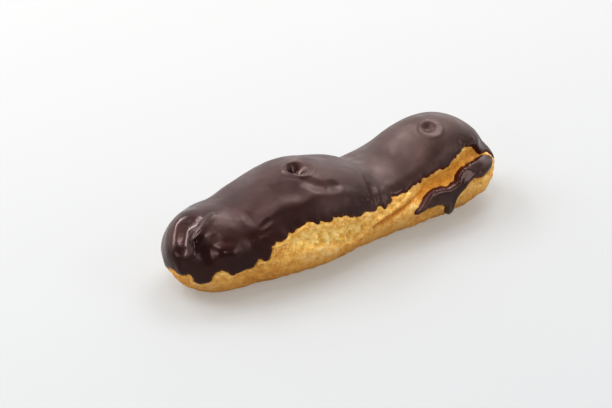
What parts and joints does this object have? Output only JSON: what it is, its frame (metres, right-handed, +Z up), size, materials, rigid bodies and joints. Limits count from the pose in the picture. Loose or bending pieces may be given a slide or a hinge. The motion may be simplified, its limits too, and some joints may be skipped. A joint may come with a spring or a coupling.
{
  "type": "chocolate eclair",
  "caption": "Whole filled choux eclair with a waist between two lobes, under a poured chocolate coat that is broken on one side; it lies on its flat foot.",
  "frame": {"origin": "on the table, under the middle of the eclair's bounding box", "axes": "+Z up from the flat foot; +X along the length, towards the rounder end; -Y towards the side where the coat is broken and a tongue of chocolate runs below the break"},
  "size_m": [0.1558, 0.0524, 0.0395],
  "materials": {
    "choux": "matt baked choux crust, golden brown, finely crumbed",
    "chocolate": "set dark chocolate icing, satin gloss"
  },
  "bodies": {
    "root": {"choux_pastry": "choux", "chocolate_coat": "chocolate"}
  },
  "joints": []
}
